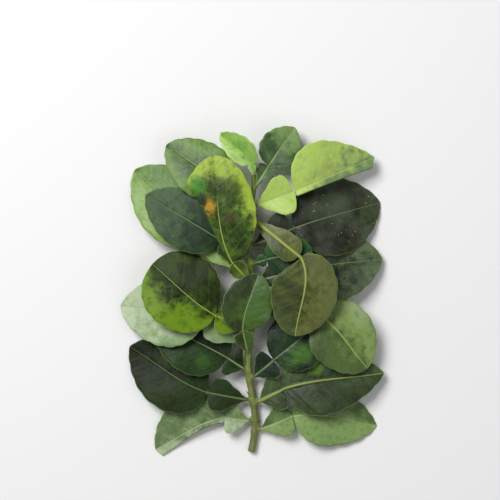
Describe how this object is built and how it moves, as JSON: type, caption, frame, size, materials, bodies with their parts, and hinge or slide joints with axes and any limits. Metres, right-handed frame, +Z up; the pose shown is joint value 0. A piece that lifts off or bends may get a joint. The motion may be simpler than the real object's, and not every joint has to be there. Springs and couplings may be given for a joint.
{
  "type": "makrut lime leaf sprig",
  "caption": "Cut citrus sprig laid flat: a thorny green twig with scalloped double leaves, each a blade jointed to a broad winged stalk.",
  "frame": {"origin": "middle of the sprig's box in plan, on the surface that the sprig lies on", "axes": "+Y along the twig from its cut end to its growing tip, +Z up, +X to the right seen from above"},
  "size_m": [0.1532, 0.1904, 0.0258],
  "materials": {
    "leaf": "waxy, half matt",
    "twig": "matt green bark"
  },
  "bodies": {
    "root": {"twig": "twig", "leaf_01": "leaf", "leaf_02": "leaf", "leaf_03": "leaf", "leaf_04": "leaf", "leaf_05": "leaf", "leaf_06": "leaf", "leaf_07": "leaf", "leaf_08": "leaf", "leaf_09": "leaf", "leaf_10": "leaf", "leaf_11": "leaf", "leaf_12": "leaf", "leaf_13": "leaf", "leaf_14": "leaf", "leaf_15": "leaf", "leaf_16": "leaf", "leaf_17": "leaf", "leaf_18": "leaf", "leaf_19": "leaf", "leaf_20": "leaf", "leaf_21": "leaf"}
  },
  "joints": []
}
